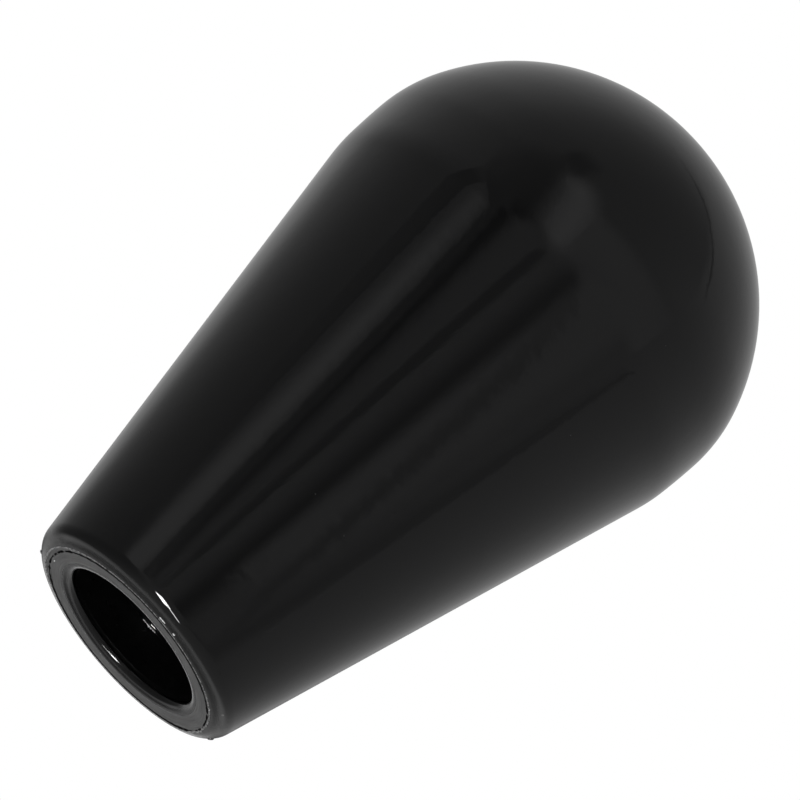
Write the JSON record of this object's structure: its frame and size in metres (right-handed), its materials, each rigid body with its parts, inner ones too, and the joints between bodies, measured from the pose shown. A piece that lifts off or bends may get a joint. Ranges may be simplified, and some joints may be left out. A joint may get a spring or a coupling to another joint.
{
  "type": "espresso machine lever handle",
  "caption": "Pear-shaped glossy black lever handle with a tapered grip, a domed head and a threaded metal insert in a round socket at its narrow end.",
  "frame": {"origin": "centre of the flat end face, where the lever goes in", "axes": "+Z along the axis of the handle, from the end face to the dome; X and Y are alike"},
  "size_m": [0.05, 0.05, 0.0818],
  "materials": {
    "black_phenolic": "polished black phenolic moulding, faced matt on its end ring",
    "insert_steel": "turned steel, black oxide"
  },
  "bodies": {
    "root": {"handle_body": "black_phenolic", "threaded_insert": "insert_steel"}
  },
  "joints": []
}
